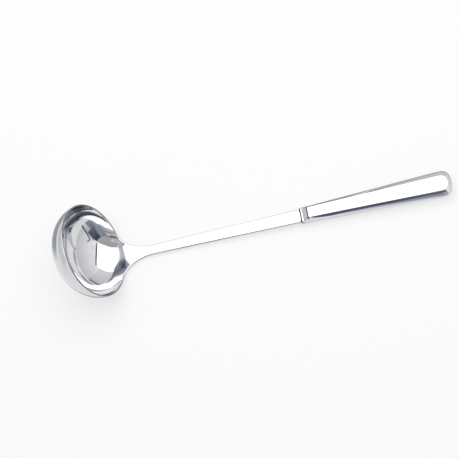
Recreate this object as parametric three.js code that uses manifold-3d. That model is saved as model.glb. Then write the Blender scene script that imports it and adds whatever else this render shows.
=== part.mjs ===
// Sauce ladle: a pressed steel bowl and stem in one piece, with a tang held in a hollow welded handle.
import * as THREE from 'three';
import { mergeVertices } from 'three/addons/utils/BufferGeometryUtils.js';
import Module from 'manifold-3d';

const wasm = await Module();
wasm.setup();

const { degToRad, lerp, mapLinear, smootherstep, smoothstep } = THREE.MathUtils;

// Driving dimensions, in millimetres, with angles in degrees

// Bowl: half an ellipsoid with an even wall
const bowlDiameter = 70;
const bowlDepth = 26.5;
const bowlWall = 1.4;

// Neck: where the back wall of the bowl rises over a low ridge and narrows into the stem
const neckSpread = 33;
const neckLength = 25;
const neckBlend = 11;
const neckRoll = 3.5;

// Stem: a flat bar from the plane of the mouth to the front of the handle
const stemAngle = 65.7;
const stemLength = 133.6;
const stemThickness = 2.5;
const stemNeckWidth = 7;
const stemEndWidth = 10.4;
const tangWidth = 7;
const tangThickness = 2.2;
const tangLength = 28;

// Handle: two pressed half shells, each with a flat panel, sloping flanks and a fluted front
const handleLength = 112;
const handleFrontWidth = 11.4;
const handleEndWidth = 20;
const handleFrontThickness = 11;
const handleEndThickness = 7;
const panelFrontWidth = 7.4;
const panelEndWidth = 11;
const fluteLength = 6;
const lipThickness = 4.8;
const endBevel = 3;
const endRound = 9;
const panelRound = 6;
const flankTilt = 27;
const shellWall = 1;
const frontWall = 1.6;

// Joints: filler metal between the pieces, and the gap that each piece keeps to its neighbour
const weldHeight = 0.6;
const brazeLength = 5;
const fitGap = 0.3;

// Shape factors: the share of the bowl wall's rise that the neck's ridge keeps, the share of the neck in
// which the slanted edge of the rim turns square to the stem, the squareness of the handle's end, how full
// its flanks are, and how hollow the flute is
const neckRidge = 0.33;
const leanShare = 0.25;
const endPower = 2.6;
const flankFullness = 1.6;
const flutePower = 1.8;

// Steps of the faceted surfaces
const bowlSides = 72;
const bowlRings = 10;
const neckColumns = 10;
const neckSteps = 10;
const stemSteps = 4;
const sideSteps = 6;
const endSteps = 16;
const frontSteps = 4;
const flankSteps = 6;

// Points closer than this are one point
const mergeDistance = 1e-4;

// Stem frame: X runs along the stem from the plane of the mouth, and Z is square to its upper face.
// The plane that touches the middle of the bowl's wall lies below the stem's middle plane by neckDrop.
const angle = degToRad(stemAngle);
const midRadius = (bowlDiameter - bowlWall) / 2;
const midDepth = bowlDepth - bowlWall / 2;
const bowlRise = Math.hypot(midRadius * Math.sin(angle), midDepth * Math.cos(angle));
const bowlCentreX = -bowlRise / Math.tan(angle);
const touchRadius = (midRadius ** 2 * Math.sin(angle)) / bowlRise;
const touchDrop = (midDepth ** 2 * Math.cos(angle)) / bowlRise;
const neckDrop = neckRidge * (bowlRise - midRadius * Math.sin(angle) + neckRoll / Math.tan(angle));

const handleFront = stemLength;
const handleEnd = handleFront + handleLength;
const panelFront = handleFront + fluteLength;
const panelEnd = handleEnd - endBevel;
const seamHeight = weldHeight / 2 + fitGap;

// A closed skin made of loops of points: each join adds the faces between two loops of equal length,
// with every four-sided face split along its shorter diagonal.
class Skin {
  points = [];
  faces = [];

  loop(points) {
    const first = this.points.length;
    this.points.push(...points);
    return points.map((_, i) => first + i);
  }

  join(near, far, from = 0) {
    for (let i = from; i < near.length; i += 1) {
      const next = (i + 1) % near.length;
      const [a, b, c, d] = [near[i], near[next], far[next], far[i]];
      const [pointA, pointB, pointC, pointD] = [a, b, c, d].map((corner) => this.points[corner]);
      const splitsAtA = pointA.distanceTo(pointC) <= pointB.distanceTo(pointD);
      this.faces.push(...(splitsAtA ? [a, b, c, a, c, d] : [b, c, d, b, d, a]));
    }
  }

  chain(loops) {
    loops.slice(1).forEach((loop, i) => this.join(loops[i], loop));
  }

  cap(loop, isFirst) {
    const centre = new THREE.Vector3();
    loop.forEach((i) => centre.addScaledVector(this.points[i], 1 / loop.length));
    const [middle] = this.loop([centre]);
    loop.forEach((point, i) => {
      const next = loop[(i + 1) % loop.length];
      this.faces.push(...(isFirst ? [next, point, middle] : [point, next, middle]));
    });
  }

  geometry() {
    const geometry = new THREE.BufferGeometry().setFromPoints(this.points);
    geometry.setIndex(this.faces);
    return signedVolume(geometry) < 0 ? insideOut(geometry) : geometry;
  }
}

function loft(sections) {
  const skin = new Skin();
  const loops = sections.map((section) => skin.loop(section));
  skin.chain(loops);
  skin.cap(loops[0], true);
  skin.cap(loops.at(-1), false);
  return skin.geometry();
}

function signedVolume(geometry) {
  const { attributes, index } = geometry;
  const corner = (i) => new THREE.Vector3().fromBufferAttribute(attributes.position, index.getX(i));
  let volume = 0;
  for (let i = 0; i < index.count; i += 3) {
    volume += corner(i).dot(corner(i + 1).cross(corner(i + 2))) / 6;
  }
  return volume;
}

function insideOut(geometry) {
  geometry.setIndex(Array.from(geometry.index.array).reverse());
  return geometry;
}

function toSolid(geometry) {
  const bare = geometry.clone();
  bare.deleteAttribute('normal');
  bare.deleteAttribute('uv');
  const merged = mergeVertices(bare, mergeDistance);
  const vertProperties = Float32Array.from(merged.attributes.position.array);
  const triVerts = Uint32Array.from(merged.index.array);
  return new wasm.Manifold(new wasm.Mesh({ numProp: 3, vertProperties, triVerts }));
}

function toGeometry(solid) {
  const { vertProperties, triVerts } = solid.getMesh();
  const geometry = new THREE.BufferGeometry();
  geometry.setAttribute('position', new THREE.BufferAttribute(vertProperties, 3));
  geometry.setIndex(new THREE.BufferAttribute(triVerts, 1));
  return geometry;
}

// Height over the touching plane, across the middle, of the sheet that carries on the bowl's back.
function sheetSag(y) {
  return bowlRise * (1 - Math.sqrt(1 - (y / midRadius) ** 2));
}

// Where the bowl's middle surface touches that sheet.
function touchX(y) {
  const share = Math.sqrt(1 - (y / midRadius) ** 2);
  return bowlCentreX + share * (touchRadius * Math.cos(angle) - touchDrop * Math.sin(angle));
}

function rimX(y) {
  return bowlCentreX + Math.sqrt(midRadius ** 2 - y ** 2) * Math.cos(angle);
}

// Height of the neck over that sheet: it leaves the rim at the slope of the wall there and levels off.
function ridgeRise(x, y) {
  const rimHeight = bowlRise - Math.sqrt(midRadius ** 2 - y ** 2) * Math.sin(angle);
  const roll = neckRoll * (1 - Math.exp((rimX(y) - x) / neckRoll));
  return neckRidge * (rimHeight - sheetSag(y) + roll / Math.tan(angle));
}

// One point of the bowl's wall: side is 1 outside and -1 inside, and turn runs from the pole to the rim.
// Past the touch line the wall is drawn down towards that sheet over the width of the neck.
function bowlPoint(azimuth, turn, side) {
  const normal = new THREE.Vector2(Math.sin(turn) / midRadius, -Math.cos(turn) / midDepth).normalize();
  const toStem = (offset) => {
    const radius = midRadius * Math.sin(turn) + normal.x * offset;
    const height = -midDepth * Math.cos(turn) + normal.y * offset;
    const ahead = radius * Math.cos(azimuth);
    return new THREE.Vector3(
      bowlCentreX + ahead * Math.cos(angle) + height * Math.sin(angle),
      radius * Math.sin(azimuth),
      bowlRise - ahead * Math.sin(angle) + height * Math.cos(angle),
    );
  };
  const middle = toStem(0);
  const point = toStem((side * bowlWall) / 2);
  if (middle.x > touchX(middle.y) && middle.z < bowlRise) {
    const share = 1 - smoothstep(Math.abs(middle.y), neckSpread / 2, neckSpread / 2 + neckBlend);
    point.z -= share * (1 - neckRidge) * (middle.z - sheetSag(middle.y));
  }
  point.z -= neckDrop;
  return point;
}

// Columns of the neck, then the rest of the bowl's meridians.
function bowlAzimuths() {
  const neck = Math.asin(neckSpread / 2 / midRadius);
  const rest = bowlSides - neckColumns;
  const across = Array.from({ length: neckColumns + 1 }, (_, i) =>
    Math.asin((Math.sin(neck) * (2 * i - neckColumns)) / neckColumns));
  const round = Array.from({ length: rest - 1 }, (_, i) => lerp(neck, 2 * Math.PI - neck, (i + 1) / rest));
  return [...across, ...round];
}

function stemHalfWidth(x) {
  return mapLinear(x, 0, stemLength, stemNeckWidth, stemEndWidth) / 2;
}

// One cross section of the neck or the stem, lower face first.
function stemSection(pointAt) {
  const edge = (side) =>
    Array.from({ length: neckColumns + 1 }, (_, i) => {
      const { x, y, z, thickness, lean } = pointAt((side * (2 * i - neckColumns)) / neckColumns);
      const offset = (side * thickness) / 2;
      return new THREE.Vector3(x + offset * Math.cos(lean), y, z - offset * Math.sin(lean));
    });
  return [...edge(1), ...edge(-1)];
}

const neckEnd = rimX(neckSpread / 2) + neckLength;
const flare = neckSpread / 2 - stemHalfWidth(neckEnd);

// The middle of the neck's wall: share runs from the rim to the stem, and across from edge to edge.
// The neck's shoulders are quarter ellipses that leave the rim along it.
function neckPoint(share, across) {
  const turn = (Math.PI / 2) * share;
  const y = across * (stemHalfWidth(neckEnd) + flare * (1 - Math.sin(turn)));
  const reach = lerp(share, 1 - Math.cos(turn), across ** 2);
  const x = lerp(rimX(y), neckEnd, reach);
  const level = smootherstep(reach, 0, 1);
  const z = (sheetSag(y) + ridgeRise(x, y) - neckDrop) * (1 - level);
  const lean = lerp(angle, Math.PI / 2, Math.min(1, reach / leanShare));
  return { x, y, z, thickness: lerp(bowlWall, stemThickness, level), lean };
}

function stemPoint(x, halfWidth, thickness, across) {
  return { x, y: across * halfWidth, z: 0, thickness, lean: Math.PI / 2 };
}

function stemSections() {
  const sections = [];
  for (let i = 1; i <= neckSteps; i += 1) {
    sections.push(stemSection((across) => neckPoint(i / neckSteps, across)));
  }
  const shoulderX = stemLength - fitGap;
  for (let i = 1; i <= stemSteps; i += 1) {
    const x = lerp(neckEnd, shoulderX, i / stemSteps);
    sections.push(stemSection((across) => stemPoint(x, stemHalfWidth(x), stemThickness, across)));
  }
  for (const x of [shoulderX, stemLength + tangLength]) {
    sections.push(stemSection((across) => stemPoint(x, tangWidth / 2, tangThickness, across)));
  }
  return sections;
}

function bowlAndStem() {
  const skin = new Skin();
  const azimuths = bowlAzimuths();
  const rings = (side) =>
    Array.from({ length: bowlRings }, (_, i) => {
      const turn = (Math.PI / 2) * ((i + 1) / bowlRings);
      return skin.loop(azimuths.map((azimuth) => bowlPoint(azimuth, turn, side)));
    });
  const outside = rings(1);
  const inside = rings(-1).reverse();
  skin.chain(outside);
  skin.chain(inside);
  skin.cap(outside[0], true);
  skin.cap(inside.at(-1), false);

  const outerRim = outside.at(-1);
  const innerRim = inside[0];
  skin.join(outerRim, innerRim, neckColumns);
  const root = [...outerRim.slice(0, neckColumns + 1), ...innerRim.slice(0, neckColumns + 1).reverse()];
  const stem = [root, ...stemSections().map((section) => skin.loop(section))];
  skin.chain(stem);
  skin.cap(stem.at(-1), false);
  return skin.geometry();
}

function blockSolid(fromX, toX, width, height) {
  const block = new THREE.BoxGeometry(toX - fromX, width, height);
  block.translate((fromX + toX) / 2, 0, 0);
  return toSolid(block);
}

// Outline of the handle in plan: straight tapered sides, a rounded end and a straight front.
function handleOutline({ front, end, frontWidth, endWidth, round }) {
  const half = (x) => mapLinear(x, front, end, frontWidth, endWidth) / 2;
  const points = [];
  for (let i = 0; i < sideSteps; i += 1) {
    const x = lerp(front, end - round, i / sideSteps);
    points.push(new THREE.Vector2(x, half(x)));
  }
  for (let i = 0; i <= endSteps; i += 1) {
    const turn = (Math.PI * i) / endSteps;
    const x = end - round + round * Math.sin(turn) ** (2 / endPower);
    const y = Math.abs(Math.cos(turn)) ** (2 / endPower) * Math.sign(Math.cos(turn));
    points.push(new THREE.Vector2(x, half(x) * y));
  }
  const farSide = points.slice(0, sideSteps).reverse();
  points.push(...farSide.map((point) => new THREE.Vector2(point.x, -point.y)));
  for (let i = 1; i < frontSteps; i += 1) {
    points.push(new THREE.Vector2(front, lerp(-frontWidth, frontWidth, i / frontSteps) / 2));
  }
  return points;
}

function panelHeight(x) {
  return mapLinear(x, panelFront, panelEnd, handleFrontThickness, handleEndThickness) / 2;
}

const seamOutline = handleOutline({
  front: handleFront,
  end: handleEnd,
  frontWidth: handleFrontWidth,
  endWidth: handleEndWidth,
  round: endRound,
});

const panelOutline = handleOutline({
  front: panelFront,
  end: panelEnd,
  frontWidth: panelFrontWidth,
  endWidth: panelEndWidth,
  round: panelRound,
});

const innerSeamOutline = handleOutline({
  front: handleFront + frontWall,
  end: handleEnd - shellWall,
  frontWidth: handleFrontWidth - 2 * shellWall,
  endWidth: handleEndWidth - 2 * shellWall,
  round: endRound,
});

const innerPanelOutline = handleOutline({
  front: panelFront + shellWall,
  end: panelEnd - shellWall,
  frontWidth: panelFrontWidth - shellWall,
  endWidth: panelEndWidth - shellWall,
  round: panelRound,
});

// The flank from the seam to the panel: along the sides and the end it leaves the seam upright and meets the
// panel at flankTilt; in front it is a lip and a hollow flute.
function flankPoint(i, step) {
  const share = step / flankSteps;
  const height = panelHeight(panelOutline[i].x) - seamHeight;
  const fall = seamOutline[i].distanceTo(panelOutline[i]) * Math.tan(degToRad(flankTilt));
  const pull = 2 * flankFullness * share * (1 - share);
  const whole = (1 - share) ** 2 + pull + share ** 2;
  let inset = share ** 2 / whole;
  let rise = (pull * Math.max(0, 1 - fall / height) + share ** 2) / whole;
  const atFront = i === 0 || i >= 2 * sideSteps + endSteps;
  if (atFront) {
    const lipRise = (lipThickness / 2 - seamHeight) / height;
    inset = Math.max(0, (step - 1) / (flankSteps - 1));
    const hollow = 1 - (1 - inset ** flutePower) ** (1 / flutePower);
    rise = step === 0 ? 0 : lerp(lipRise, 1, hollow);
  }
  const plan = seamOutline[i].clone().lerp(panelOutline[i], inset);
  return new THREE.Vector3(plan.x, plan.y, lerp(seamHeight, seamHeight + height, rise));
}

function halfShell(side) {
  const loops = [];
  for (let step = flankSteps; step >= 0; step -= 1) {
    loops.push(seamOutline.map((_, i) => flankPoint(i, step)));
  }
  loops.push(innerSeamOutline.map(({ x, y }) => new THREE.Vector3(x, y, seamHeight)));
  loops.push(innerPanelOutline.map(({ x, y }) => new THREE.Vector3(x, y, panelHeight(x) - shellWall)));
  loops.flat().forEach((point) => point.setZ(side * point.z));
  const slotWidth = tangWidth + 2 * fitGap;
  const slotHeight = tangThickness + 2 * fitGap;
  const slot = blockSolid(handleFront - frontWall, panelFront, slotWidth, slotHeight);
  return toGeometry(toSolid(loft(loops)).subtract(slot));
}

// The bead that closes the seam runs along both sides and round the end.
function seamWeld() {
  const last = 2 * sideSteps + endSteps;
  const sections = [];
  for (let i = 0; i <= last; i += 1) {
    const corner = (outline, side) => new THREE.Vector3(outline[i].x, outline[i].y, (side * weldHeight) / 2);
    sections.push([
      corner(seamOutline, 1),
      corner(seamOutline, -1),
      corner(innerSeamOutline, -1),
      corner(innerSeamOutline, 1),
    ]);
  }
  return loft(sections);
}

// Filler that fills the cavity round the tang, just behind the front wall.
function tangBraze() {
  const front = panelFront + shellWall + fitGap;
  const seamHalf = mapLinear(front, handleFront, handleEnd, handleFrontWidth, handleEndWidth) / 2;
  const panelHalf = mapLinear(front, panelFront, panelEnd, panelFrontWidth, panelEndWidth) / 2;
  const widest = seamHalf - shellWall - 2 * fitGap;
  const narrow = panelHalf - shellWall / 2 - fitGap;
  const top = panelHeight(front + brazeLength) - shellWall - fitGap;
  const outline = [[widest, 0], [narrow, top], [-narrow, top], [-widest, 0], [-narrow, -top], [narrow, -top]];
  const shape = new THREE.Shape(outline.map(([y, z]) => new THREE.Vector2(y, z)));
  const holeWidth = tangWidth / 2 + fitGap;
  const holeHeight = tangThickness / 2 + fitGap;
  const hole = [[1, 1], [-1, 1], [-1, -1], [1, -1]].map(
    ([across, up]) => new THREE.Vector2(across * holeWidth, up * holeHeight),
  );
  shape.holes.push(new THREE.Path(hole));
  const plug = new THREE.ExtrudeGeometry(shape, { depth: brazeLength, bevelEnabled: false });
  const alongStem = new THREE.Matrix4().makeBasis(
    new THREE.Vector3(0, 1, 0),
    new THREE.Vector3(0, 0, 1),
    new THREE.Vector3(1, 0, 0),
  );
  plug.applyMatrix4(alongStem);
  return plug.translate(front, 0, 0);
}

const mirrorSteel = { color: 0xd9dbe0, roughness: 0.12, metalness: 1 };
const brightSteel = { color: 0xdcdde2, roughness: 0.16, metalness: 1 };
const weldSteel = { color: 0xc4c6cb, roughness: 0.28, metalness: 1 };
const brazeMetal = { color: 0xb9a878, roughness: 0.45, metalness: 1 };

function piece(name, geometry, finish) {
  const mesh = new THREE.Mesh(geometry, new THREE.MeshStandardMaterial(finish));
  mesh.name = name;
  return mesh;
}

const ladle = new THREE.Group();
ladle.add(
  piece('bowl_and_stem', bowlAndStem(), mirrorSteel),
  piece('handle_upper_shell', halfShell(1), brightSteel),
  piece('handle_lower_shell', halfShell(-1), brightSteel),
  piece('seam_weld', seamWeld(), weldSteel),
  piece('tang_braze', tangBraze(), brazeMetal),
);

// The ladle lies on its back, on the bowl and on whichever end of the handle's lower panel it meets first.
const backX = touchX(0);
const backDrop = neckDrop + bowlWall / 2;
const restTilt = Math.max(
  ...[panelFront, panelEnd].map((x) => Math.atan2(panelHeight(x) - backDrop, x - backX)),
);
const tilted = new THREE.Group();
tilted.rotation.y = -restTilt;
tilted.add(ladle);

// Origin: the middle of the footprint, on the surface that the ladle lies on.
const sauceLadle = new THREE.Group();
sauceLadle.add(tilted);
const box = new THREE.Box3().setFromObject(sauceLadle, true);
tilted.position.set(-(box.min.x + box.max.x) / 2, 0, -box.min.z);

export default sauceLadle;
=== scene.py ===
"""Looks of a polished steel sauce ladle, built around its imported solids.

Sizes are in millimetres, in the stem's own frame: X runs along the stem from the plane of the
bowl's mouth, Y runs across it and Z is square to its upper face. Each mesh is turned into the
part's frame, in metres, when it is made.
"""

import logging
import math
from dataclasses import dataclass
from enum import Enum
from typing import Any

import bpy
import numpy as np
from mathutils import Matrix, Vector


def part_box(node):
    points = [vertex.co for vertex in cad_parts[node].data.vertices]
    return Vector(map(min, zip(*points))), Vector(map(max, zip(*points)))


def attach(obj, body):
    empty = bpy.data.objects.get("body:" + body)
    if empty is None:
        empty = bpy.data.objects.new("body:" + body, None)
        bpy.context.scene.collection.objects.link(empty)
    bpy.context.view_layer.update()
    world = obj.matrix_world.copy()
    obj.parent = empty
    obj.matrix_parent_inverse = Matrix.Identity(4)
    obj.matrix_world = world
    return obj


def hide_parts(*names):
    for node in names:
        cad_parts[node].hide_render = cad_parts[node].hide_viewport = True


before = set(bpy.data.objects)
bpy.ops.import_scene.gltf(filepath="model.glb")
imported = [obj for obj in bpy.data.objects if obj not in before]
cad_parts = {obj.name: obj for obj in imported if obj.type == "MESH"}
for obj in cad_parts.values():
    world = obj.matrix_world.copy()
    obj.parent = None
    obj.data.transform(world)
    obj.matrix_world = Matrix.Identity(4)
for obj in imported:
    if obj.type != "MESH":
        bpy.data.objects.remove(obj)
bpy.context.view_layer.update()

LOG = logging.getLogger("sauce_ladle")
BODY = "root"
MM = 0.001
QUARTER = math.pi / 2

HANDLE_SHARP = math.radians(34.0)
MIX_SHARE, MIX_LOW, MIX_HIGH, MIX_RESULT = 0, 6, 7, 2

Array = np.ndarray
Tone = tuple[float, float, float]
Point = tuple[float, float, float]
Span = tuple[float, float]

Profile = list[tuple[np.ndarray, np.ndarray]]

WHITE: Tone = (1.0, 1.0, 1.0)


def mix(low: Any, high: Any, share: Any) -> Any:
    """Returns the value that lies at a share of the way from low to high."""
    return low + (high - low) * share


def smooth(value: Any, low: float, high: float) -> Any:
    """Returns a step from 0 at low to 1 at high whose slope and curvature start and end at 0."""
    share = np.clip((value - low) / (high - low), 0.0, 1.0)
    return share**3 * (share * (6.0 * share - 15.0) + 10.0)


def unit(vectors: Array) -> Array:
    """Returns vectors scaled to a length of 1."""
    return vectors / np.linalg.norm(vectors, axis=-1, keepdims=True)


def scaled(span: Span, size: float) -> Span:
    """Returns a span with both its ends multiplied by a size."""
    return span[0] * size, span[1] * size


def opaque(tone: Tone) -> tuple[float, float, float, float]:
    """Returns a tone as a solid colour."""
    return (*tone, 1.0)


@dataclass(frozen=True)
class LadleSizes:
    """Driving sizes of the ladle in millimetres, with the angle of its stem in degrees."""

    bowl_diameter: float = 70.0
    bowl_depth: float = 26.5
    bowl_wall: float = 1.4
    neck_spread: float = 33.0
    neck_length: float = 25.0
    neck_blend: float = 11.0
    neck_ridge: float = 0.33
    neck_roll: float = 3.5
    stem_angle: float = 65.7
    stem_length: float = 133.6
    stem_thickness: float = 2.5
    stem_neck_width: float = 7.0
    stem_end_width: float = 10.4
    tang_width: float = 7.0
    tang_thickness: float = 2.2
    tang_length: float = 28.0
    handle_length: float = 112.0
    handle_front_width: float = 11.4
    handle_end_width: float = 20.0
    handle_front_thickness: float = 11.0
    handle_end_thickness: float = 7.0
    panel_front_width: float = 7.4
    panel_end_width: float = 11.0
    flute_length: float = 6.0
    lip_thickness: float = 4.8
    end_bevel: float = 3.0
    end_round: float = 9.0
    panel_round: float = 6.0
    end_power: float = 2.6
    shell_wall: float = 1.0
    front_wall: float = 1.6
    weld_height: float = 0.6
    fit_gap: float = 0.3

    @property
    def angle(self) -> float:
        """Angle between the stem and the plane of the mouth, in radians."""
        return math.radians(self.stem_angle)

    @property
    def mid_radius(self) -> float:
        """Radius of the middle of the bowl's wall at the rim."""
        return (self.bowl_diameter - self.bowl_wall) / 2

    @property
    def mid_depth(self) -> float:
        """Depth of the middle of the bowl's wall."""
        return self.bowl_depth - self.bowl_wall / 2

    @property
    def bowl_rise(self) -> float:
        """Height of the middle of the mouth over the plane along the stem that touches the bowl's back."""
        return math.hypot(self.mid_radius * math.sin(self.angle), self.mid_depth * math.cos(self.angle))

    @property
    def bowl_centre_x(self) -> float:
        """Place of the middle of the mouth along the stem."""
        return -self.bowl_rise / math.tan(self.angle)

    @property
    def neck_drop(self) -> float:
        """Depth of the bowl's touching plane under the stem, which the ridge at the neck makes up."""
        rim_rise = self.bowl_rise - self.mid_radius * math.sin(self.angle)
        return self.neck_ridge * (rim_rise + self.neck_roll / math.tan(self.angle))

    @property
    def handle_end(self) -> float:
        """Place of the handle's end along the stem."""
        return self.stem_length + self.handle_length

    @property
    def panel_front(self) -> float:
        """Place where the handle's flat panels begin."""
        return self.stem_length + self.flute_length

    @property
    def panel_end(self) -> float:
        """Place where the handle's flat panels end."""
        return self.handle_end - self.end_bevel

    def sheet_sag(self, y: Any) -> Any:
        """Returns the height of the tangent sheet that carries the bowl's back into the stem."""
        return self.bowl_rise * (1.0 - np.sqrt(1.0 - (y / self.mid_radius) ** 2))

    def touch_x(self, y: Any) -> Any:
        """Finds where the bowl touches that sheet.

        Args:
            y: Distances from the middle.

        Returns:
            The places along the stem.
        """
        radius = self.mid_radius**2 * math.sin(self.angle) / self.bowl_rise
        drop = self.mid_depth**2 * math.cos(self.angle) / self.bowl_rise
        reach = radius * math.cos(self.angle) - drop * math.sin(self.angle)
        return self.bowl_centre_x + np.sqrt(1.0 - (y / self.mid_radius) ** 2) * reach

    def rim_x(self, y: Any) -> Any:
        """Returns where the rim's neck side lies along the stem, at a distance from the middle."""
        return self.bowl_centre_x + np.sqrt(self.mid_radius**2 - y**2) * math.cos(self.angle)

    def ridge_rise(self, x: Any, y: Any) -> Any:
        """Returns the height of the neck over the tangent sheet.

        Args:
            x: Places along the stem, from just short of the rim.
            y: Distances from the middle.

        Returns:
            The heights, which leave the rim at the slope of the bowl's wall and level off.
        """
        past_rim = x - self.rim_x(y)
        rim_height = self.bowl_rise - np.sqrt(self.mid_radius**2 - y**2) * math.sin(self.angle)
        level = self.neck_roll * (1.0 - np.exp(-np.maximum(past_rim, 0.0) / self.neck_roll))
        roll = (level + np.minimum(past_rim, 0.0)) / math.tan(self.angle)
        return self.neck_ridge * (rim_height - self.sheet_sag(y) + roll)

    def stem_half(self, x: Any) -> Any:
        """Returns half the stem's width at a place along it."""
        return mix(self.stem_neck_width, self.stem_end_width, x / self.stem_length) / 2

    def panel_height(self, x: Any) -> Any:
        """Returns the height of the upper panel's plane over the handle's middle plane."""
        share = (x - self.panel_front) / (self.panel_end - self.panel_front)
        return mix(self.handle_front_thickness, self.handle_end_thickness, share) / 2

    @property
    def rest_tilt(self) -> float:
        """Angle that the stem rises at when the ladle lies on its bowl and its handle, in radians."""
        back_x = float(self.touch_x(0.0))
        ends = (self.panel_front, self.panel_end)
        back = self.neck_drop + self.bowl_wall / 2
        return max(math.atan2(self.panel_height(x) - back, x - back_x) for x in ends)

    def placement(self) -> Matrix:
        """Finds how the stem's frame lies in the part's frame, from the tang's end and the table.

        Returns:
            The matrix that takes millimetres in the stem's frame to metres in the part's frame.
        """
        tilt = self.rest_tilt
        tang_end = self.stem_length + self.tang_length
        tang_reach = tang_end * math.cos(tilt) + self.tang_thickness / 2 * math.sin(tilt)
        shift_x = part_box("bowl_and_stem")[1].x - tang_reach * MM
        edge_drop = self.panel_height(self.panel_front) * math.cos(tilt) - self.panel_front * math.sin(tilt)
        turn = Matrix.Rotation(-tilt, 4, "Y")
        return Matrix.Translation((shift_x, 0.0, edge_drop * MM)) @ turn @ Matrix.Scale(MM, 4)


class Skin:
    """Points and faces of one mesh, gathered strip by strip."""

    def __init__(self) -> None:
        self.points: Array = np.zeros((0, 3))
        self.faces: list[list[int]] = []

    def add(self, points: Array) -> Array:
        """Adds points laid out in any grid.

        Args:
            points: The points' places, with the last axis for X, Y and Z.

        Returns:
            The points' numbers, in the same grid.
        """
        first = len(self.points)
        flat = points.reshape(-1, 3)
        self.points = np.concatenate([self.points, flat])
        return np.arange(first, first + len(flat)).reshape(points.shape[:-1])

    def quads(self, grid: Array, closed: bool = False) -> None:
        """Joins neighbouring rows of points with four-sided faces.

        Args:
            grid: The points' numbers, row by row.
            closed: Whether each row runs round to its own first point.
        """
        if closed:
            grid = np.concatenate([grid, grid[:, :1]], axis=1)
        corners = (grid[:-1, :-1], grid[:-1, 1:], grid[1:, 1:], grid[1:, :-1])
        self.faces += np.stack(corners, axis=-1).reshape(-1, 4).tolist()

    def fan(self, centre: int, ring: Array) -> None:
        """Joins one point to a closed ring of points with triangles."""
        self.faces += [[centre, int(a), int(b)] for a, b in zip(ring, np.roll(ring, -1))]

    def cap(self, loop: Array) -> None:
        """Fills a flat closed loop of points with one face."""
        self.faces.append(loop.tolist())

    def normals(self) -> Array:
        """Works out the smooth normal at each point from the faces round it.

        Returns:
            The normals, each of length 1.
        """
        corners = np.array([face + face[-1:] * (4 - len(face)) for face in self.faces])
        first, second, third, fourth = (self.points[corners[:, i]] for i in range(4))
        across = np.cross(third - first, fourth - second)
        total = np.zeros_like(self.points)
        for i in range(4):
            np.add.at(total, corners[:, i], across)
        return unit(total)

    def to_object(self, name: str, placement: Matrix, sharp: float = QUARTER) -> bpy.types.Object:
        """Makes a shaded object of the skin.

        Args:
            name: The object's name.
            placement: The matrix from the skin's frame to the part's frame.
            sharp: The angle between two faces, in radians, past which their edge is shaded sharp.

        Returns:
            The new object, with its faces pointing out.
        """
        mesh = bpy.data.meshes.new(name)
        faces = self.faces if self._volume() > 0.0 else [face[::-1] for face in self.faces]
        mesh.from_pydata(self.points.tolist(), [], faces)
        mesh.transform(placement)
        mesh.shade_smooth()
        mesh.set_sharp_from_angle(angle=sharp)
        piece = bpy.data.objects.new(name, mesh)
        bpy.context.scene.collection.objects.link(piece)
        return piece

    def _volume(self) -> float:
        """Adds up the volume inside the faces.

        Returns:
            The volume, below 0 where the faces point in.
        """
        total = 0.0
        for face in self.faces:
            first = self.points[face[0]]
            for second, third in zip(face[1:], face[2:]):
                total += float(np.dot(first, np.cross(self.points[second], self.points[third])))
        return total / 6.0


class Wire:
    """One output of a shader node, with arithmetic that adds Math nodes."""

    def __init__(self, book: "NodeBook", socket: bpy.types.NodeSocket) -> None:
        self.book = book
        self.socket = socket

    def _math(self, operation: str, *values: Any) -> "Wire":
        """Adds a Math node on values or wires and returns its result."""
        return self.book.add("ShaderNodeMath", {"operation": operation}, dict(enumerate(values)))

    def __add__(self, other: Any) -> "Wire":
        """Returns the sum."""
        return self._math("ADD", self, other)

    def __radd__(self, other: Any) -> "Wire":
        """Returns the sum, with the wire second."""
        return self._math("ADD", other, self)

    def __sub__(self, other: Any) -> "Wire":
        """Returns the difference."""
        return self._math("SUBTRACT", self, other)

    def __rsub__(self, other: Any) -> "Wire":
        """Returns the difference, with the wire second."""
        return self._math("SUBTRACT", other, self)

    def __mul__(self, other: Any) -> "Wire":
        """Returns the product."""
        return self._math("MULTIPLY", self, other)

    def __rmul__(self, other: Any) -> "Wire":
        """Returns the product, with the wire second."""
        return self._math("MULTIPLY", other, self)

    def __truediv__(self, other: Any) -> "Wire":
        """Returns the quotient."""
        return self._math("DIVIDE", self, other)

    def __pow__(self, other: Any) -> "Wire":
        """Returns the power."""
        return self._math("POWER", self, other)

    def __abs__(self) -> "Wire":
        """Returns the size without its sign."""
        return self._math("ABSOLUTE", self)

    def most(self, other: Any) -> "Wire":
        """Returns the larger of two values."""
        return self._math("MAXIMUM", self, other)

    def swing(self, ahead: "Wire") -> "Wire":
        """Returns the angle of a place from its distance aside, as the wire, and ahead."""
        return self._math("ARCTAN2", self, ahead)

    def climb(self) -> "Wire":
        """Returns the angle whose sine is the wire."""
        return self._math("ARCSINE", self)

    def step(self, low: float, high: float) -> "Wire":
        """Adds a smooth step.

        Args:
            low: The value at which the step leaves 0.
            high: The value at which it reaches 1.

        Returns:
            The step.
        """
        settings = {"interpolation_type": "SMOOTHSTEP"}
        inputs = {"Value": self, "From Min": low, "From Max": high}
        return self.book.add("ShaderNodeMapRange", settings, inputs)


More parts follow.
